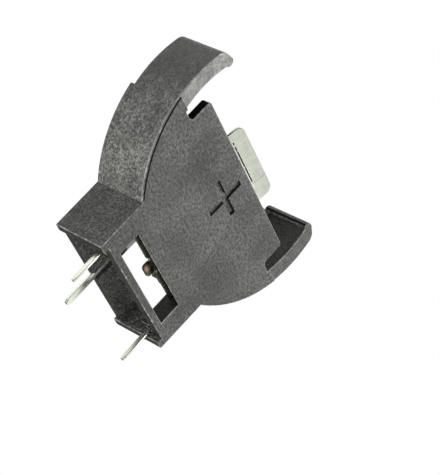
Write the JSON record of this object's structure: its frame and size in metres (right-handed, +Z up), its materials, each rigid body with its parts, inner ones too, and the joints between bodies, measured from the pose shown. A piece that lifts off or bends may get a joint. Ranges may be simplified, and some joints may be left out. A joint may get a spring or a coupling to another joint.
{
  "type": "coin cell holder",
  "caption": "Upright through-hole holder for a coin cell: dark moulded ring-shaped housing with a plus mark, and stamped metal contacts ending in solder pins.",
  "frame": {"origin": "on the board's top face, under the middle of the front plate's face", "axes": "+X along the front plate's width, +Y from the front plate back through the cell, +Z up from the board"},
  "size_m": [0.0234, 0.0055, 0.021],
  "materials": {
    "housing": "fine spark-eroded mould texture, dark grey",
    "contact": "nickel-plated spring bronze sheet, satin"
  },
  "bodies": {
    "root": {"housing": "housing", "positive_contact": "contact", "negative_contact": "contact"}
  },
  "joints": []
}
